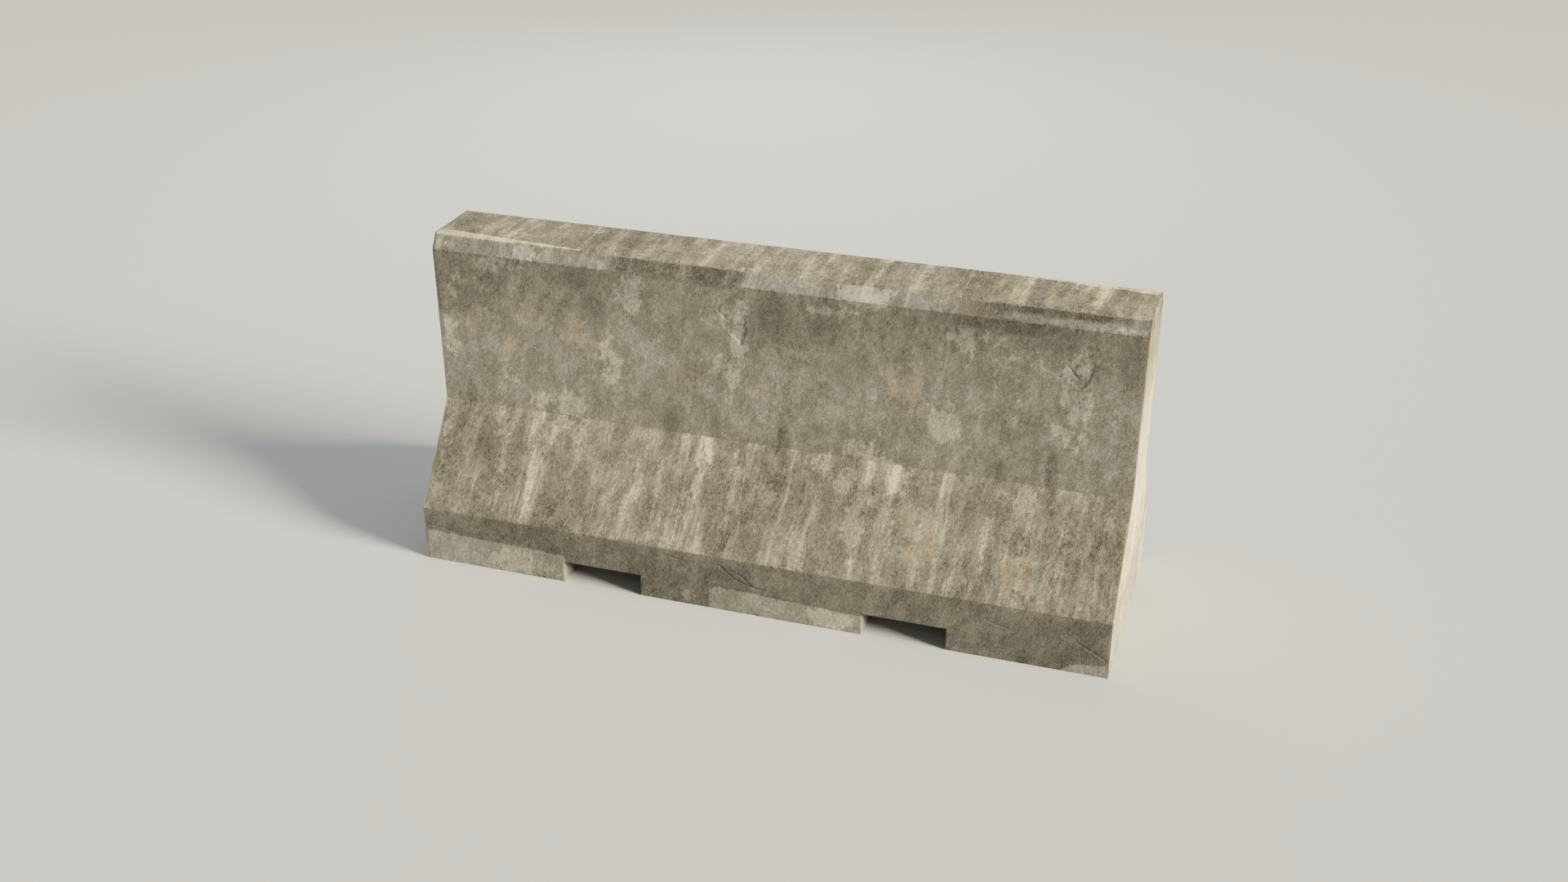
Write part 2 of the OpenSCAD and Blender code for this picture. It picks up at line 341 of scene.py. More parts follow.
def cutFiner(obj):  # a finer grid where the skin is to break
    centres = np.empty(len(obj.data.polygons) * 3)
    normals = np.empty(len(obj.data.polygons) * 3)
    obj.data.polygons.foreach_get("center", centres)
    obj.data.polygons.foreach_get("normal", normals)
    x, y, z = 1000 * centres.reshape(-1, 3).T
    damaged = np.zeros(len(x), bool)
    for outline in damage["flakes"]:
        rim = fromLine(x, z, outline + outline[:1])
        damaged |= insideOutline(x, z, outline) | (rim < damage["flakeMargin"])
    for *_, points in damage["cracks"]:
        damaged |= fromLine(x, z, points) < damage["crackMargin"]
    damaged &= (y < -damage["frontFace"]) & (normals.reshape(-1, 3)[:, 1] < -0.5)
    pickOnly(obj)
    bpy.ops.object.mode_set(mode="EDIT")
    selectParts(obj, "FACE", lambda f: damaged[f.index])
    bpy.ops.mesh.subdivide(number_cuts=damage["fineCuts"])
    bpy.ops.object.mode_set(mode="OBJECT")


def breakSkin(obj):  # flakes come off the front face and hairline cracks open
    places = vertexPlaces(obj)
    x, y, z = 1000 * places.T
    # the ends and the ground face stay flat
    front = (y < -damage["frontFace"]) & (np.abs(x) < 1000 * length / 2 - 2) & (z > 4)
    stray = 1.4 * np.sin(0.31 * z + 0.13 * x) + 1.1 * np.sin(0.47 * x - 0.29 * z)  # the edges aren't straight
    depth = np.zeros(len(x))
    for outline in damage["flakes"]:
        inside = insideOutline(x + stray, z + stray, outline)
        fromEdge = fromLine(x + stray, z + stray, outline + outline[:1]) * inside
        lowest, highest = min(p[1] for p in outline), max(p[1] for p in outline)
        runOut = np.clip(1.1 - (z - lowest) / (highest - lowest), 0, 1)  # deepest low down
        edge = np.clip(fromEdge / damage["flakeEdge"], 0, 1)
        depth = np.maximum(depth, damage["flakeDepth"] * edge * edge * (3 - 2 * edge) * runOut)
    stretch, least = damage["crackEnds"]
    for deepest, halfWidth, points in damage["cracks"]:
        gap = fromLine(x + 0.5 * stray, z + 0.5 * stray, points)
        fromEnd = np.minimum(*[np.hypot(x - endX, z - endZ) for endX, endZ in (points[0], points[-1])])
        ends = np.clip(fromEnd / stretch, least, 1)
        depth = depth + deepest * ends * np.exp(-(gap / halfWidth) ** 2)
    places[:, 1] += depth * front / 1000
    obj.data.vertices.foreach_set("co", places.ravel())
    obj.data.update()


def joined(parts, name):
    pickOnly(parts[0])
    for part in parts:
        part.select_set(True)
    bpy.ops.object.join()
    bpy.ops.object.transform_apply(location=True, rotation=True, scale=True)
    bpy.context.object.name = name
    return bpy.context.object


def cutAway(obj, cutter):
    pickOnly(obj)
    modifier = obj.modifiers.new("Cut", "BOOLEAN")
    modifier.operation = "DIFFERENCE"
    modifier.solver = "MANIFOLD"
    modifier.object = cutter
    bpy.ops.object.modifier_apply(modifier=modifier.name)
    bpy.data.objects.remove(cutter)


def makeChips():
    slots = [side * edge for side in (-1, 1) for edge in (1000 * slotIn, 1000 * slotOut)]
    toeY = damage["arrises"]["toe"][0]
    chips = []
    for count in range(damage["chips"]):
        side = -1 if count % 3 else 1
        kind = dice.choice(["top", "shoulder", "toe", "toe", "foot", "foot", "slot", "end"])
        x = dice.uniform(-damage["along"], damage["along"])
        if kind in damage["arrises"]:
            fromMiddle, z = damage["arrises"][kind]
            place = (x, side * fromMiddle, z)
        elif kind == "foot":
            middle, reach, z = damage["foot"]
            place = (dice.choice([-1, 0, 1]) * middle + dice.uniform(-reach, reach), side * toeY, z)
        elif kind == "slot":
            place = (dice.choice(slots), side * toeY, dice.uniform(*damage["upSlot"]))
        else:
            z = dice.uniform(*damage["upEnd"])
            place = (dice.choice([-1, 1]) * damage["endPlane"], side * faceY(z), z)
        long = dice.uniform(*damage["chipLength"]) / 2
        deep = dice.uniform(*damage["chipDepth"])
        alongX = kind not in ("slot", "end")
        size = (long, deep, deep * 1.2) if alongX else (deep, deep, long)
        bpy.ops.mesh.primitive_ico_sphere_add(subdivisions=2, radius=1, location=[p / 1000 for p in place],
                                              scale=[s / 1000 for s in size])
        chip = bpy.context.object
        for vertex in chip.data.vertices:
            vertex.co *= dice.uniform(*damage["chipUneven"])
        chips.append(chip)
    return joined(chips, "chips")


def makeAirHoles():
    low, margin, lift = damage["clearOfSlot"]
    holes = []
    for count in range(damage["airHoles"]):
        side = -1 if count % 2 else 1
        z = dice.uniform(*damage["airHoleUp"])
        x = dice.uniform(-damage["airHoleAlong"], damage["airHoleAlong"])
        if z < low and 1000 * slotIn - margin < abs(x) < 1000 * slotOut + margin:
            z += lift
        radius = dice.uniform(*damage["airHoleRadius"])
        bpy.ops.mesh.primitive_ico_sphere_add(
            subdivisions=2, radius=radius / 1000, location=(x / 1000, side * faceY(z) / 1000, z / 1000),
            scale=(dice.uniform(0.8, 1.3), 1, dice.uniform(0.8, 1.2)))
        holes.append(bpy.context.object)
    return joined(holes, "airHoles")


def keepOuterSkin(obj):  # crossing knocks can leave a speck of a hollow under the skin
    pickOnly(obj)
    bpy.ops.object.mode_set(mode="EDIT")
    selectParts(obj, "FACE", lambda f: f.calc_center_median().z > stemTop + 0.01)  # up on the bevel and top
    bpy.ops.mesh.select_linked()
    bpy.ops.mesh.select_all(action="INVERT")
    bpy.ops.mesh.delete(type="VERT")
    bpy.ops.object.mode_set(mode="OBJECT")


cutFiner(body)
breakSkin(body)
print("skin broken,", len(body.data.polygons), "faces")
for makeCutter in (makeChips, makeAirHoles):
    cutAway(body, makeCutter())
    print(makeCutter.__name__, "cut,", len(body.data.polygons), "faces")
keepOuterSkin(body)
pickOnly(body)
bpy.ops.object.shade_smooth_by_angle(angle=math.radians(casting["smoothAngle"]))
# the arrises stay crisp between flat faces
evenNormals = body.modifiers.new("EvenNormals", "WEIGHTED_NORMAL")
evenNormals.keep_sharp = True
bpy.ops.object.modifier_apply(modifier=evenNormals.name)

# Weathering marks on the long faces, in millimetres: x, z, half width, half height, strength.
# The rear face has the same marks, turned end for end.
weather = {
    "pale": [
        (-349, 726, 38, 52, 0.9), (-404, 536, 30, 55, 0.9), (426, 512, 36, 60, 1.0), (466, 716, 48, 40, 0.8),
        (226, 400, 70, 34, 0.7), (-514, 410, 40, 40, 0.8), (-600, 410, 34, 30, 0.7), (-684, 466, 22, 34, 0.7),
        (-110, 556, 44, 44, 0.9), (-74, 625, 26, 46, 0.9), (-92, 716, 40, 34, 0.8), (-684, 752, 62, 20, 0.8),
        (718, 590, 34, 46, 0.9), (712, 520, 40, 44, 0.8), (556, 540, 34, 26, 0.6), (150, 738, 66, 18, 0.8),
        (566, 660, 44, 90, 0.5), (-804, 690, 26, 60, 0.6), (-826, 540, 28, 80, 0.5), (706, 690, 34, 34, 0.8),
        (-694, 345, 24, 34, 0.9), (-574, 330, 26, 60, 0.8), (-504, 350, 30, 34, 0.8), (136, 350, 34, 30, 0.8),
        (262, 345, 84, 42, 1.0), (236, 270, 30, 70, 0.9), (326, 320, 14, 60, 0.7), (626, 340, 50, 34, 0.7),
        (-160, 340, 30, 30, 0.7), (-72, 350, 16, 40, 0.6), (-624, 792, 42, 26, 1.0), (218, 792, 70, 26, 1.0),
        (-840, 792, 26, 24, 0.6), (800, 780, 60, 8, 0.8), (-420, 792, 24, 20, 0.5),
        (-626, 36, 66, 30, 0.9), (206, 26, 80, 24, 0.9), (-154, 22, 26, 14, 0.8), (-534, 30, 30, 18, 0.7),
        (-674, 250, 9, 70, 0.8), (-594, 250, 11, 90, 1.0), (-262, 240, 9, 80, 1.0), (-196, 230, 9, 60, 1.0),
        (-164, 270, 14, 40, 0.9), (-74, 240, 9, 80, 0.8), (236, 230, 12, 70, 0.9), (326, 250, 9, 70, 0.7),
        (546, 250, 9, 80, 0.8), (636, 230, 12, 70, 0.9), (726, 240, 9, 80, 0.9), (-16, 300, 10, 60, 0.6),
        (-840, 300, 10, 60, 0.6), (816, 320, 10, 50, 0.7),
    ],
    "tan": [
        (-599, 621, 40, 28, 0.8), (-509, 606, 28, 36, 1.0), (-470, 580, 28, 24, 0.8),
        (-654, 536, 28, 26, 0.9), (-764, 606, 40, 40, 0.5), (211, 656, 26, 14, 0.9),
        (326, 566, 46, 32, 1.0), (276, 600, 26, 16, 0.8),
        (166, 496, 28, 16, 0.7), (-214, 516, 26, 16, 0.7), (-34, 526, 26, 30, 0.5), (700, 700, 30, 20, 0.4),
        (366, 272, 40, 40, 0.8), (406, 224, 50, 36, 0.9), (626, 210, 36, 34, 1.0), (-324, 362, 26, 14, 0.7),
        (20, 300, 40, 40, 0.5), (470, 790, 30, 16, 0.6), (-840, 250, 24, 60, 0.5),
    ],
    "dark": [
        (566, 758, 150, 20, 0.9), (670, 736, 40, 26, 0.9), (836, 716, 40, 90, 0.7), (6, 696, 52, 60, 0.7),
        (136, 690, 44, 44, 0.8), (196, 600, 52, 52, 0.6), (-484, 742, 60, 30, 0.7), (-444, 676, 36, 36, 0.7),
        (-176, 706, 34, 30, 0.5), (-150, 636, 34, 22, 0.7), (516, 630, 40, 40, 0.6), (-300, 420, 40, 40, 0.5),
        (-139, 412, 12, 54, 1.5), (673, 412, 12, 52, 1.5), (31, 402, 13, 40, 1.3), (-254, 398, 28, 42, 0.9),
        (-789, 398, 12, 38, 1.3), (556, 396, 14, 30, 1.1), (-734, 288, 34, 36, 0.7), (-644, 328, 12, 44, 0.7),
        (96, 292, 16, 32, 0.9), (16, 369, 24, 12, 0.9), (676, 360, 12, 24, 0.9), (496, 304, 24, 34, 0.6),
        (166, 256, 16, 62, 0.6), (6, 190, 60, 26, 0.6), (-354, 792, 60, 24, 0.9), (-250, 792, 90, 24, 0.9),
        (-150, 792, 84, 26, 1.1), (660, 800, 190, 12, 1.0), (500, 792, 60, 24, 0.7), (-60, 100, 40, 20, 0.5),
        (640, 96, 60, 20, 0.4),
    ],
    "edge": 1.55,                  # a mark fades out at this many half widths
    # a scuffed band low on each foot: x from, x to, its top at each end
    "footBands": [(-864, -482, 84, 74), (-112, 281, 64, 50), (740, 864, 14, 34)],
    # and a rubbed one on the top face's front edge: x from, x to, width at each end
    "topBand": (-864, -380, 28, -8),
    "bandFade": 30,
    # cream runs across the top
    "topRuns": [-734, -679, -579, -484, -324, -174, -74, 71, 236, 336, 436, 576, 736],
    "topRunWidth": 9,
    "endShade": (420, 720, 0.85),  # the ends get darker from this height up to this one, and by how much
}


def markStrength(marks, x, z):
    strength = np.zeros(len(x))
    for markX, markZ, halfWidth, halfHeight, most in marks:
        away = np.hypot((x - markX) / halfWidth, (z - markZ) / halfHeight)
        strength = np.maximum(strength, most * np.clip(weather["edge"] - away, 0, 1))
    return strength


def paintMarks(obj):
    x, y, z = 1000 * vertexPlaces(obj).T
    onTop = z > 1000 * height - 3
    onEnd = np.abs(x) > 500 * length - 2.5
    onFace = ~onTop & ~onEnd
    topRuns = np.zeros(len(x))
    for at in weather["topRuns"]:
        away = np.abs(x - at) / weather["topRunWidth"]
        topRuns = np.maximum(topRuns, np.clip(weather["edge"] - away, 0, 1))
    shadeFrom, shadeTo, shadeMost = weather["endShade"]
    endShade = shadeMost * np.clip((z - shadeFrom) / (shadeTo - shadeFrom), 0, 1)

    x = np.where(y > 0, -x, x)
    bands = np.zeros(len(x))
    for x0, x1, z0, z1 in weather["footBands"]:
        rim = np.interp(x, [x0, x1], [z0, z1])
        begun = np.clip((x - x0 + 20) / 60, 0, 1) if x0 > -860 else 1  # whole at once at the barrier's end
        along = begun * (x < x1 + 1)
        bands = np.maximum(bands, along * np.clip(0.5 + (rim - z) / weather["bandFade"], 0, 1))
    x0, x1, width0, width1 = weather["topBand"]
    rim = np.interp(x, [x0, x1], [width0, width1])
    fromFront = 500 * casting["topWidth"] - np.abs(y)
    along = (x < x1) & onTop
    bands = np.maximum(bands, along * np.clip(0.5 + (rim - fromFront) / weather["bandFade"], 0, 1))

    channels = [markStrength(weather["pale"], x, z) * onFace + topRuns * onTop,
                markStrength(weather["tan"], x, z) * onFace,
                markStrength(weather["dark"], x, z) * onFace + endShade * onEnd,
                bands * ~onEnd]
    marks = obj.data.attributes.new("marks", "FLOAT_COLOR", "POINT")
    marks.data.foreach_set("color", np.stack(channels, axis=1).astype(np.float32).ravel())


paintMarks(body)
print("weathering marks painted")


# Precast concrete: cement paste cast against steel forms, then years of rain and dust.
# It reads as a dead matt grey made of short upright flecks, with pale blooms, brown dirt,
# cream rain runs down the slopes and across the top, and pale ends, a painted highlight.
concrete = {
    # from the dirtiest paste to bare cream lime, by value
    "shades": [(0.00, "#35332D"), (0.22, "#5C5953"), (0.42, "#747168"), (0.55, "#838078"), (0.70, "#9E998C"),
               (0.85, "#BCB6A1"), (1.00, "#E4DBBB")],
    # pattern: width across the flow and length along it in mm, detail, roughness
    "patterns": {
        "grit": (2.6, 3.0, 2, 0.8), "fleck": (6, 10, 5, 0.74), "patch": (40, 56, 8, 0.66),
        "cloud": (210, 240, 5, 0.55), "run": (34, 360, 8, 0.72), "scratch": (3.0, 48, 3, 0.6),
    },
    "wander": 0.014, "wanderSize": 95,  # how far the flecks and runs stray, and over what distance
    "lean": 0.1,             # and how far they lean, across for each step up
    "scratchLean": -28,      # the scratches lean more, in degrees
    "middle": 0.48,          # the value the patterns move away from, and how much each one moves it
    "weights": {"grit": 0.84, "fleck": 1.00, "patch": 0.44, "cloud": 0.55},
    "bloom": (0.46, 0.56, 0.06),  # patches bloom over this range of their noise, by this much
    "runRange": (0.45, 0.70), "runMiddle": 0.2,
    "runBase": 0.06,         # the runs show a little everywhere, and more on some faces
    "runMore": {"slope": 0.38, "top": 0.38, "end": 0.30, "bevel": 0.24},
    # each zone's contrast about the middle, and how far its value is moved
    "contrast": {"slope": 1.2, "top": 1.45, "end": 1.3, "toe": 0.8},
    # the ends' large lift is a painted highlight: the key light's brightness painted into their colour
    "valueShift": {"slope": -0.11, "top": 0.18, "toe": -0.25, "end": 0.44, "bevel": 0.20},
    "slopeFade": 0.12,       # the slope is paler towards the waist, fading out at the toe
    "stemFade": (0.2, -0.17),     # the stem darkens from this far over the waist up to the bevel
    "shoulderShadeLine": (0.010, -0.06),   # painted shade: a dark line this high under the bevel, standing in for the shade at its arris
    # painted marks, scratches and specks: the level where each starts and is whole, and the value it adds
    "marks": {
        "pale": (0.48, 0.76, 0.16), "dark": (0.32, 0.84, -0.16), "tan": (0.30, 0.85, 0.05),
        "band": (0.44, 0.56, 0.30), "scratch": (0.58, 0.74, 0.14), "speck": (0.62, 0.78, 0.16),
    },
    "breakUp": (2.6, 1.2),   # how much the patches and the flecks break up the marks' edges
    "bandBreakUp": 0.12,     # the bands have cleaner edges
    # a mark shows this much more in a zone
    "strongerMarks": [("bevel", "pale", 0.7), ("bevel", "dark", 1.2), ("end", "dark", 1.7),
                      ("top", "band", 0.6)],
    "tanBloom": ("#AB936B", 0.23),  # colour, share
    # lime and lichen tint the slope and top, where rain reaches, and the ends' warm tint is part of their
    # painted highlight: colour, share
    "tint": {"slope": ("#FFF9E6", 0.6), "top": ("#FFF6C6", 1.0), "end": ("#FFF1C2", 1.0)},
    "tintLeast": 0.45,       # what is left of the tint between the runs
    # pattern, strength, depth in metres
    "relief": [("patch", 0.5, 0.002), ("fleck", 0.6, 0.0014), ("grit", 0.5, 0.0008)],
    "roughness": (0.97, 0.86),    # dust in the low patches, rubbed paste on the high ones
    "ior": 1.5,
}


def findZones(tree, axes):  # masks for the faces; worn skin sits a little inside, so top and end reach in
    outX = addNode(tree, "Math", {"operation": "ABSOLUTE"}, {0: axes[0]})
    waist, toe = casting["waistHeight"], casting["toeHeight"]
    on = {}
    for zone, source, low, high in (
            ("top", axes[2], height - 0.004, height - 0.0025),
            ("end", outX, length / 2 - 0.0045, length / 2 - 0.0025),
            ("aboveStem", axes[2], stemTop - 0.0005, stemTop + 0.0005),
            ("belowWaist", axes[2], waist + 0.001, waist - 0.001),
            ("toe", axes[2], toe + 0.001, toe - 0.001)):
        on[zone] = addNode(tree, "MapRange", {"From Min": low, "From Max": high}, {"Value": source})
    for zone, whole, less in (("slope", "belowWaist", "toe"), ("bevel", "aboveStem", "top"),
                              ("bevel", "bevel", "end")):
        on[zone] = addNode(tree, "Math", {"operation": "SUBTRACT", "use_clamp": True},
                           {0: on[whole], 1: on[less]})
    return on


def drawPatterns(tree, place, axes, on):  # water flows down the faces and ends and across the top
    c = concrete
    across = addNode(tree, "Mix", {"data_type": "FLOAT"}, {0: on["end"], 2: axes[0], 3: axes[1]})
    through = addNode(tree, "Mix", {"data_type": "FLOAT"}, {0: on["end"], 2: axes[1], 3: axes[0]})
    across = addNode(tree, "Math", {"operation": "MULTIPLY_ADD", 1: -c["lean"]}, {0: axes[2], 2: across})
    straight = addNode(tree, "CombineXYZ", links={0: across, 1: through, 2: axes[2]})
    stray = addNode(tree, "TexNoise", {"Scale": perMetre(c["wanderSize"]), "Detail": 3}, {"Vector": place}, 1)
    stray = addNode(tree, "VectorMath", {"operation": "MULTIPLY_ADD", 1: (2 * c["wander"], 0, 0),
                                         2: (-c["wander"], 0, 0)}, {0: stray})
    flow = addNode(tree, "VectorMath", {"operation": "ADD"}, {0: straight, 1: stray})
    turn = {"rotation_type": "Y_AXIS", "Angle": math.radians(c["scratchLean"])}
    leaning = addNode(tree, "VectorRotate", turn, {0: flow})
    pattern = {}
    for name, (wide, long, detail, roughness) in c["patterns"].items():
        size = (perMetre(wide), perMetre(long), perMetre(long))
        scaled = addNode(tree, "VectorMath", {"operation": "MULTIPLY", 1: size},
                         {0: leaning if name == "scratch" else flow})
        pattern[name] = addNode(tree, "TexNoise", {"Scale": 1, "Detail": detail, "Roughness": roughness},
                                {"Vector": scaled})
    return pattern


def pasteValue(tree, axes, on, pattern, run):  # how dark or pale the paste is, before the marks
    c = concrete
    start = c["middle"] - sum(c["weights"].values()) / 2
    low, high, most = c["bloom"]
    ramp = {"interpolation_type": "SMOOTHSTEP", "From Min": low, "From Max": high,
            "To Min": start - most / 2, "To Max": start + most / 2}
    value = addNode(tree, "MapRange", ramp, {"Value": pattern["patch"]})
    for name, weight in c["weights"].items():
        value = addNode(tree, "Math", {"operation": "MULTIPLY_ADD", 1: weight}, {0: pattern[name], 2: value})
    lift = addNode(tree, "Math", {"operation": "SUBTRACT", 1: c["middle"]}, {0: value})
    for zone, times in c["contrast"].items():
        share = addNode(tree, "Math", {"operation": "MULTIPLY_ADD", 1: times - 1, 2: 1}, {0: on[zone]})
        lift = addNode(tree, "Math", {"operation": "MULTIPLY"}, {0: lift, 1: share})
    value = addNode(tree, "Math", {"operation": "ADD", 1: c["middle"]}, {0: lift})

    fromMiddle = addNode(tree, "Math", {"operation": "SUBTRACT", 1: c["runMiddle"]}, {0: run})
    share = None
    for zone, more in c["runMore"].items():
        settings = {"operation": "MULTIPLY_ADD", 1: more, 2: c["runBase"]}
        share = addNode(tree, "Math", settings, {0: on[zone], 2: share} if share else {0: on[zone]})
    value = addNode(tree, "Math", {"operation": "MULTIPLY_ADD"}, {0: fromMiddle, 1: share, 2: value})
    # the ends are lifted here as a painted highlight
    for zone, shift in c["valueShift"].items():
        value = addNode(tree, "Math", {"operation": "MULTIPLY_ADD", 1: shift}, {0: on[zone], 2: value})

    toe, waist = casting["toeHeight"], casting["waistHeight"]
    overWaist, stemDarkening = c["stemFade"]
    shadeLineHeight, shadeLineDepth = c["shoulderShadeLine"]
    fade = {}
    for name, low, high, most in (("slope", toe, waist, c["slopeFade"]),
                                  ("stem", waist + overWaist, stemTop, stemDarkening),
                                  ("paintedShoulder", stemTop - shadeLineHeight, stemTop, shadeLineDepth)):
        fade[name] = addNode(tree, "MapRange", {"From Min": low, "From Max": high, "To Max": most},
                             {"Value": axes[2]})
    value = addNode(tree, "Math", {"operation": "MULTIPLY_ADD"}, {0: fade["slope"], 1: on["slope"], 2: value})
    # the line just under the bevel is painted shade
    for name in ("stem", "paintedShoulder"):
        value = addNode(tree, "Math", {"operation": "ADD"}, {0: fade[name], 1: value})
    return value


def showMarks(tree, on, pattern):  # painted marks broken up by patches and flecks, and scratches and specks
    c = concrete
    painted = addNode(tree, "Attribute", {"attribute_name": "marks"}, output="Color")
    channels = addNode(tree, "SeparateColor", links={0: painted}, output=slice(3))
    strength = dict(zip(("pale", "tan", "dark"), channels))
    byPatch, byFleck = c["breakUp"]
    patches = {"operation": "MULTIPLY_ADD", 1: byPatch, 2: -(byPatch + byFleck) / 2}
    flecks = {"operation": "MULTIPLY_ADD", 1: byFleck}
    broken = addNode(tree, "Math", patches, {0: pattern["patch"]})
    broken = addNode(tree, "Math", flecks, {0: pattern["fleck"], 2: broken})
    raised = {name: addNode(tree, "Math", {"operation": "ADD"}, {0: source, 1: broken})
              for name, source in strength.items()}
    raised["band"] = addNode(tree, "Math", {"operation": "MULTIPLY_ADD", 1: c["bandBreakUp"]},
                             {0: broken, 2: painted.node.outputs["Alpha"]})
    raised["scratch"], raised["speck"] = pattern["scratch"], pattern["grit"]
    shown = {}
    for name, (low, high, _) in c["marks"].items():
        step = "LINEAR" if name in ("scratch", "speck") else "SMOOTHSTEP"
        ramp = {"interpolation_type": step, "From Min": low, "From Max": high}
        shown[name] = addNode(tree, "MapRange", ramp, {"Value": raised[name]})
    for zone, name, more in c["strongerMarks"]:
        times = addNode(tree, "Math", {"operation": "MULTIPLY_ADD", 1: more, 2: 1}, {0: on[zone]})
        shown[name] = addNode(tree, "Math", {"operation": "MULTIPLY"}, {0: shown[name], 1: times})
    return shown


def pasteColour(tree, on, run, value, tan):  # the value's shade, with tan blooms and tinted runs
    c = concrete
    colour = addNode(tree, "ValToRGB", links={0: value})
    stops = colour.node.color_ramp.elements
    for spot, (at, code) in enumerate(c["shades"]):
        stop = stops[spot] if spot < 2 else stops.new(at)
        stop.position = at
        stop.color = hexColour(code)
    code, most = c["tanBloom"]
    share = addNode(tree, "Math", {"operation": "MULTIPLY", 1: most}, {0: tan})
    colour = addNode(tree, "Mix", {"data_type": "RGBA", 7: hexColour(code)}, {0: share, 6: colour}, 2)
    streaked = addNode(tree, "MapRange", {"To Min": c["tintLeast"]}, {"Value": run})
    for zone, (code, most) in c["tint"].items():
        share = addNode(tree, "Math", {"operation": "MULTIPLY"}, {0: on[zone], 1: streaked})
        share = addNode(tree, "Math", {"operation": "MULTIPLY", 1: most}, {0: share})
        colour = addNode(tree, "Mix", {"data_type": "RGBA", "blend_type": "MULTIPLY", 7: hexColour(code)},
                         {0: share, 6: colour}, 2)
    return colour


def castConcreteMaterial():
    c = concrete
    material = newMaterial("WeatheredPrecastConcrete")
    tree = material.node_tree
    place = addNode(tree, "TexCoord", output="Object")
    axes = addNode(tree, "SeparateXYZ", links={0: place}, output=slice(3))
    on = findZones(tree, axes)
    pattern = drawPatterns(tree, place, axes, on)
    low, high = c["runRange"]
    run = addNode(tree, "MapRange", {"interpolation_type": "SMOOTHSTEP", "From Min": low, "From Max": high},
                  {"Value": pattern["run"]})
    shown = showMarks(tree, on, pattern)
    value = pasteValue(tree, axes, on, pattern, run)
    for name, (*_, amount) in c["marks"].items():
        value = addNode(tree, "Math", {"operation": "MULTIPLY_ADD", 1: amount}, {0: shown[name], 2: value})
    bump = None
    for name, strength, depth in c["relief"]:
        links = {"Height": pattern[name], "Normal": bump} if bump else {"Height": pattern[name]}
        bump = addNode(tree, "Bump", {"Strength": strength, "Distance": depth}, links)
    dusty, rubbed = c["roughness"]
    ramp = {"From Min": 0.3, "From Max": 0.7, "To Min": dusty, "To Max": rubbed}
    roughness = addNode(tree, "MapRange", ramp, {"Value": pattern["patch"]})
    colour = pasteColour(tree, on, run, value, shown["tan"])
    surface = addNode(tree, "BsdfPrincipled", {"IOR": c["ior"]},
                      {"Base Color": colour, "Roughness": roughness, "Normal": bump})
    addNode(tree, "OutputMaterial", links={"Surface": surface})
    return material


body.data.materials.clear()
body.data.materials.append(castConcreteMaterial())
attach(body, "root")
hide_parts("concrete_casting")
print("concrete finished")


# Steel, wire and spacers inside the casting keep their CAD shapes and take real finishes.
cageFinish = {
    # reinforcing bar, hot rolled: blue-brown mill scale with orange rust in blooms
    "bar": {"scale": "#4A3A33", "rust": "#8A5230", "rustShare": 0.16, "roughness": 0.48},
    # tying wire, annealed black in the coil: a soft dark oxide, a little rust
    "wire": {"scale": "#2C2A2B", "rust": "#5C4231", "rustShare": 0.05, "roughness": 0.55},
    "rustSize": 14, "scaleSize": 3,  # millimetres
    "rustDull": 0.92, "scaleSheen": 0.85, "rustSheen": 0.05,
    # wheel spacer, recycled polypropylene, injection moulded: even dark grey with a dull skin
    "wheel": {"dark": "#45494C", "light": "#4D5154", "grain": 1.2, "roughness": 0.55, "ior": 1.49},
    # spacer block, sand and cement mortar cast in trays: pale grey and sandy
    "block": {"dark": "#8A857A", "light": "#A39E92", "grain": 2, "roughness": 0.88, "ior": 1.5},
    "cloudiness": 12,        # the shade drifts over this many grains
    "unevenness": 0.08,      # and the roughness varies this much either way
}


def rolledSteelMaterial(name, look):
    c = cageFinish
    material = newMaterial(name)
    tree = material.node_tree
    place = addNode(tree, "TexCoord", output="Object")
    blooms = addNode(tree, "TexNoise", {"Scale": perMetre(c["rustSize"]), "Detail": 7, "Roughness": 0.65},
                     {"Vector": place})
    fine = addNode(tree, "TexNoise", {"Scale": perMetre(c["scaleSize"]), "Detail": 3}, {"Vector": place})
    ramp = {"interpolation_type": "SMOOTHSTEP", "From Min": 0.62 - look["rustShare"],
            "From Max": 0.82 - look["rustShare"]}
    rusted = addNode(tree, "MapRange", ramp, {"Value": blooms})
    shades = {"data_type": "RGBA", 6: hexColour(look["scale"]), 7: hexColour(look["rust"])}
    colour = addNode(tree, "Mix", shades, {0: rusted}, 2)
    bare = addNode(tree, "MapRange", {"To Min": c["scaleSheen"], "To Max": c["rustSheen"]}, {"Value": rusted})
    dulls = {"To Min": look["roughness"], "To Max": c["rustDull"]}
    dull = addNode(tree, "MapRange", dulls, {"Value": rusted})
    bump = addNode(tree, "Bump", {"Strength": 0.4, "Distance": 0.0002}, {"Height": fine})
    surface = addNode(tree, "BsdfPrincipled", {},
                      {"Base Color": colour, "Metallic": bare, "Roughness": dull, "Normal": bump})
    addNode(tree, "OutputMaterial", links={"Surface": surface})
    return material


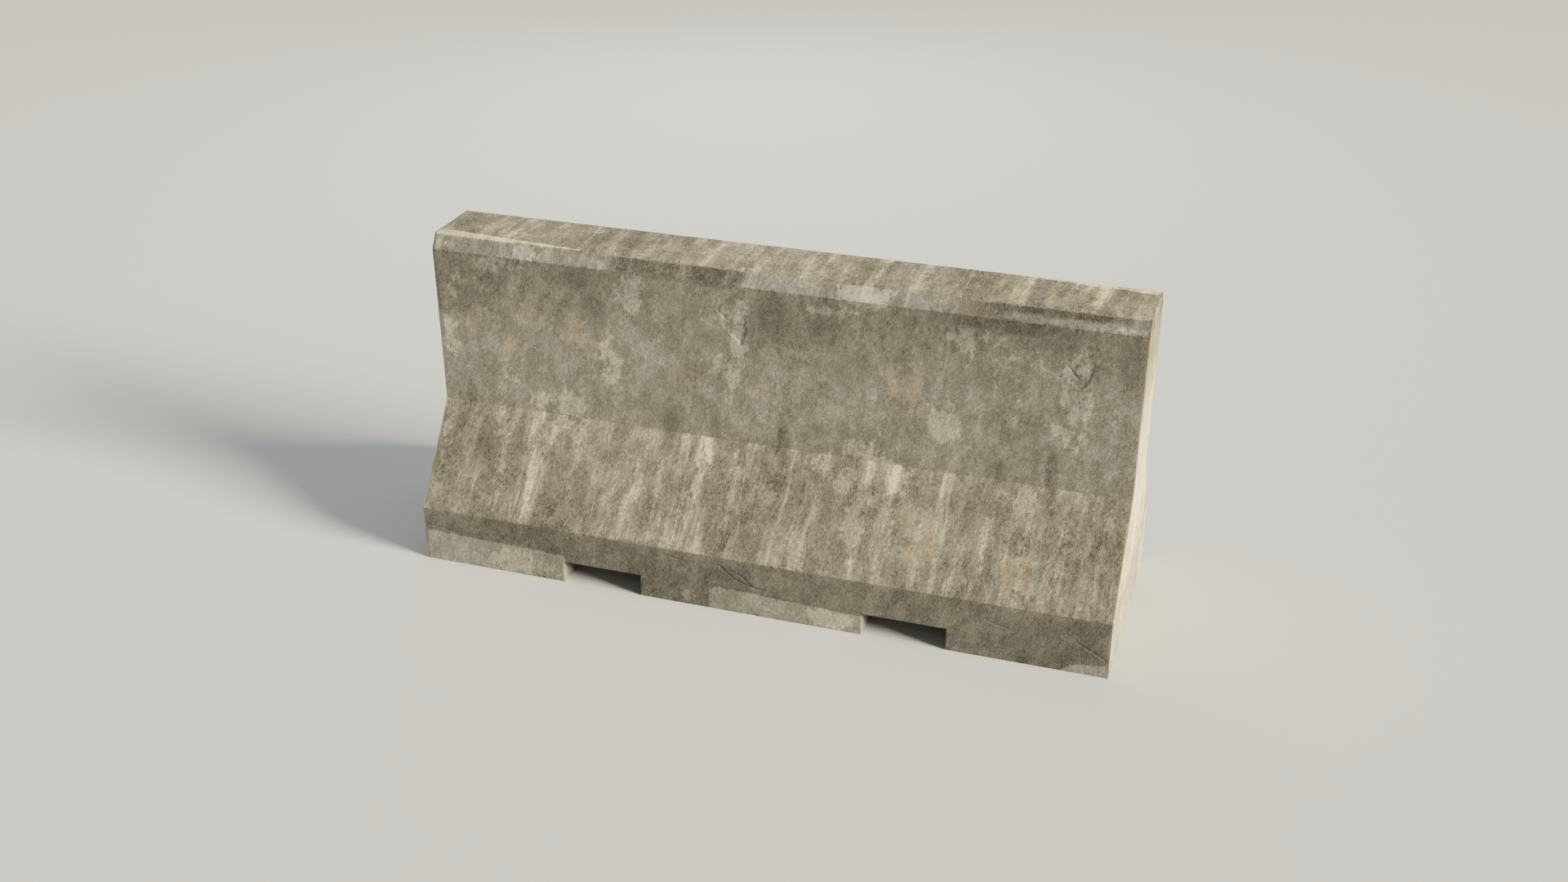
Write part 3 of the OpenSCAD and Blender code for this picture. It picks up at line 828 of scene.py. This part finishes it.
def castSpacerMaterial(name, look):
    c = cageFinish
    material = newMaterial(name)
    tree = material.node_tree
    place = addNode(tree, "TexCoord", output="Object")
    grain = addNode(tree, "TexNoise", {"Scale": perMetre(look["grain"]), "Detail": 4, "Roughness": 0.6},
                    {"Vector": place})
    cloudy = addNode(tree, "TexNoise", {"Scale": perMetre(look["grain"] * c["cloudiness"]), "Detail": 3},
                     {"Vector": place})
    shades = {"data_type": "RGBA", 6: hexColour(look["dark"]), 7: hexColour(look["light"])}
    colour = addNode(tree, "Mix", shades, {0: cloudy}, 2)
    low, high = look["roughness"] - c["unevenness"], look["roughness"] + c["unevenness"]
    dull = addNode(tree, "MapRange", {"To Min": low, "To Max": high}, {"Value": grain})
    bump = addNode(tree, "Bump", {"Strength": 0.3, "Distance": 0.0002}, {"Height": grain})
    surface = addNode(tree, "BsdfPrincipled", {"IOR": look["ior"]},
                      {"Base Color": colour, "Roughness": dull, "Normal": bump})
    addNode(tree, "OutputMaterial", links={"Surface": surface})
    return material


barSteel = rolledSteelMaterial("HotRolledReinforcingSteel", cageFinish["bar"])
wireSteel = rolledSteelMaterial("BlackAnnealedTyingWire", cageFinish["wire"])
spacerPlastic = castSpacerMaterial("MouldedPolypropylene", cageFinish["wheel"])
spacerMortar = castSpacerMaterial("TrayCastMortar", cageFinish["block"])

for name, node in frame["nodes"].items():
    if name == "concrete_casting":
        continue
    finish = barSteel
    if "tie_wires" in name:
        finish = wireSteel
    elif name.startswith("wheel_spacers"):
        finish = spacerPlastic
    elif name.startswith("block_spacers"):
        finish = spacerMortar
    for slot in node.material_slots:
        slot.material = finish
print("cage finished")


# Camera, floor and lights.
view = {"azimuth": 18.13, "elevation": 27.12, "distance": 4.253, "aim": (0, 0, 0.337), "lens": 39.85,
        "sensor": 36, "farthest": 1000}
studio = {
    "floorSize": 400, "floor": "#D3D4D4", "floorRoughness": 0.9, "sky": "#E4E8EC", "skyStrength": 0.27,
    "key": {"from": (13.0, -1.9, 4.6), "strength": 14.0, "spread": 20, "colour": "#FFF6D6"},
    "softboxes": [  # name, place, size, watts, colour
        ("overheadSoftbox", (0.0, 0.6, 5.0), 3.5, 60, "#F8FAFF"),
        ("rearSoftbox", (-1.6, 4.4, 2.6), 3.0, 90, "#F4F5F6"),
    ],
}


def setCamera():
    around, up = math.radians(view["azimuth"]), math.radians(view["elevation"])
    away = Vector((math.sin(around) * math.cos(up), -math.cos(around) * math.cos(up), math.sin(up)))
    bpy.ops.object.camera_add(location=Vector(view["aim"]) + view["distance"] * away)
    camera = bpy.context.object
    camera.name = "Camera"
    camera.rotation_euler = (-away).to_track_quat("-Z", "Y").to_euler()
    camera.data.lens = view["lens"]
    camera.data.sensor_width = view["sensor"]
    camera.data.clip_end = view["farthest"]
    bpy.context.scene.camera = camera


def setFloor():
    bpy.ops.mesh.primitive_plane_add(size=studio["floorSize"], location=(0, 0, 0))
    floor = bpy.context.object
    floor.name = "StudioFloor"
    paint = newMaterial("MattStudioFloor")
    coat = addNode(paint.node_tree, "BsdfPrincipled",
                   {"Base Color": hexColour(studio["floor"]), "Roughness": studio["floorRoughness"]})
    addNode(paint.node_tree, "OutputMaterial", links={"Surface": coat})
    floor.data.materials.append(paint)


def setLights():
    key = studio["key"]
    bpy.ops.object.light_add(type="SUN", location=key["from"])
    light = bpy.context.object
    light.name = "keyLight"
    light.rotation_euler = Vector(key["from"]).to_track_quat("Z", "Y").to_euler()
    light.data.energy = key["strength"]
    light.data.angle = math.radians(key["spread"])
    light.data.color = hexColour(key["colour"])[:3]
    for name, place, size, watts, colour in studio["softboxes"]:
        bpy.ops.object.light_add(type="AREA", location=place)
        light = bpy.context.object
        light.name = name
        light.rotation_euler = (Vector(view["aim"]) - Vector(place)).to_track_quat("-Z", "Y").to_euler()
        light.data.shape = "DISK"
        light.data.size = size
        light.data.energy = watts
        light.data.color = hexColour(colour)[:3]


def setSky():
    world = bpy.data.worlds.new("StudioSky")
    world.use_nodes = True
    world.node_tree.nodes.clear()
    sky = addNode(world.node_tree, "Background",
                  {"Color": hexColour(studio["sky"]), "Strength": studio["skyStrength"]})
    addNode(world.node_tree, "OutputWorld", links={"Surface": sky})
    bpy.context.scene.world = world


setCamera()
setFloor()
setLights()
setSky()
deselectAll()
print("camera and studio set")
